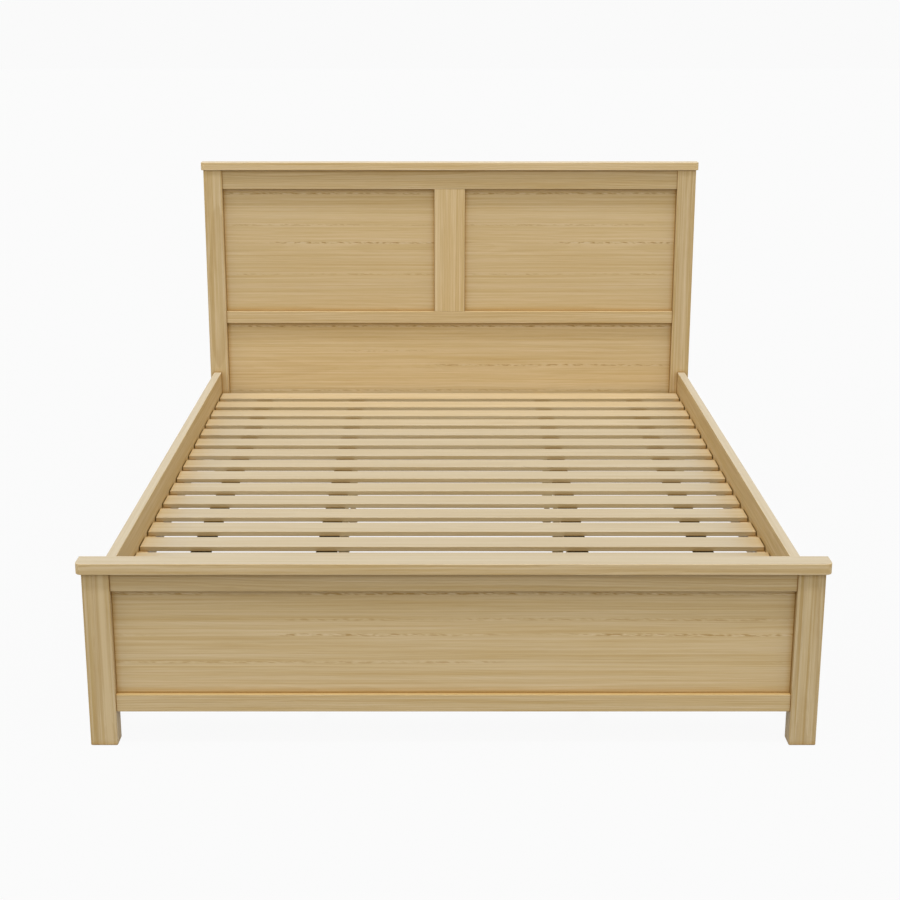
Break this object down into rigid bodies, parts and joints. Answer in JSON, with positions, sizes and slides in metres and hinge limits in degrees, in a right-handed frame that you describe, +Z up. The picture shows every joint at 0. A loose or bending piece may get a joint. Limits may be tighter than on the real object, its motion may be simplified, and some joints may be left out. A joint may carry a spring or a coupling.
{
  "type": "panel bed",
  "caption": "Pine panel bed with a recessed-panel headboard and footboard, side rails, strapped slats on cleats, and centre beams on legs with levelling feet.",
  "frame": {"origin": "on the floor, in the middle of the bed's width and length", "axes": "+Z up, +X to the right seen from the foot end, +Y along the bed from the footboard to the headboard"},
  "size_m": [1.636, 2.118, 1.075],
  "materials": {
    "lacquered_pine": "knot-free pine with a clear satin lacquer, grain along each piece",
    "slat_pine": "planed pine, unfinished, grain along each piece",
    "black_webbing": "flat woven webbing",
    "tan_nylon": "moulded, slightly rough",
    "zinc_plated_steel": "bright zinc plate"
  },
  "bodies": {
    "bed": {"footboard_post_right": "lacquered_pine", "footboard_post_left": "lacquered_pine", "headboard_post_right": "lacquered_pine", "headboard_post_left": "lacquered_pine", "footboard_cap": "lacquered_pine", "footboard_top_rail": "lacquered_pine", "footboard_bottom_rail": "lacquered_pine", "footboard_panel": "lacquered_pine", "headboard_cap": "lacquered_pine", "headboard_top_rail": "lacquered_pine", "headboard_middle_rail": "lacquered_pine", "headboard_bottom_rail": "lacquered_pine", "headboard_centre_stile": "lacquered_pine", "headboard_upper_panel_right": "lacquered_pine", "headboard_upper_panel_left": "lacquered_pine", "headboard_lower_panel": "lacquered_pine", "side_rail_right": "lacquered_pine", "side_rail_left": "lacquered_pine", "cleat_right": "slat_pine", "cleat_left": "slat_pine", "centre_beam_right": "slat_pine", "centre_beam_left": "slat_pine", "cross_battens": "slat_pine", "slat_01": "slat_pine", "slat_02": "slat_pine", "slat_03": "slat_pine", "slat_04": "slat_pine", "slat_05": "slat_pine", "slat_06": "slat_pine", "slat_07": "slat_pine", "slat_08": "slat_pine", "slat_09": "slat_pine", "slat_10": "slat_pine", "slat_11": "slat_pine", "slat_12": "slat_pine", "slat_13": "slat_pine", "slat_14": "slat_pine", "slat_15": "slat_pine", "slat_16": "slat_pine", "slat_17": "slat_pine", "strap_inner_right": "black_webbing", "strap_inner_left": "black_webbing", "strap_outer_right": "black_webbing", "strap_outer_left": "black_webbing", "centre_leg_right_foot_end": "slat_pine", "centre_leg_right_middle": "slat_pine", "centre_leg_right_head_end": "slat_pine", "centre_leg_left_foot_end": "slat_pine", "centre_leg_left_middle": "slat_pine", "centre_leg_left_head_end": "slat_pine", "leg_bushes": "zinc_plated_steel", "rail_hook_plates": "zinc_plated_steel", "post_slot_plates": "zinc_plated_steel", "wood_screws": "zinc_plated_steel"},
    "levelling_foot_right_foot_end": {"levelling_foot_right_foot_end": "tan_nylon"},
    "levelling_foot_right_middle": {"levelling_foot_right_middle": "tan_nylon"},
    "levelling_foot_right_head_end": {"levelling_foot_right_head_end": "tan_nylon"},
    "levelling_foot_left_foot_end": {"levelling_foot_left_foot_end": "tan_nylon"},
    "levelling_foot_left_middle": {"levelling_foot_left_middle": "tan_nylon"},
    "levelling_foot_left_head_end": {"levelling_foot_left_head_end": "tan_nylon"}
  },
  "joints": [
    {"name": "levelling_foot_right_foot_end_screw", "type": "slide", "parent": "bed", "child": "levelling_foot_right_foot_end", "axis": [0, 0, 1], "range_m": [-0.01, 0.03]},
    {"name": "levelling_foot_right_middle_screw", "type": "slide", "parent": "bed", "child": "levelling_foot_right_middle", "axis": [0, 0, 1], "range_m": [-0.01, 0.03]},
    {"name": "levelling_foot_right_head_end_screw", "type": "slide", "parent": "bed", "child": "levelling_foot_right_head_end", "axis": [0, 0, 1], "range_m": [-0.01, 0.03]},
    {"name": "levelling_foot_left_foot_end_screw", "type": "slide", "parent": "bed", "child": "levelling_foot_left_foot_end", "axis": [0, 0, 1], "range_m": [-0.01, 0.03]},
    {"name": "levelling_foot_left_middle_screw", "type": "slide", "parent": "bed", "child": "levelling_foot_left_middle", "axis": [0, 0, 1], "range_m": [-0.01, 0.03]},
    {"name": "levelling_foot_left_head_end_screw", "type": "slide", "parent": "bed", "child": "levelling_foot_left_head_end", "axis": [0, 0, 1], "range_m": [-0.01, 0.03]}
  ]
}
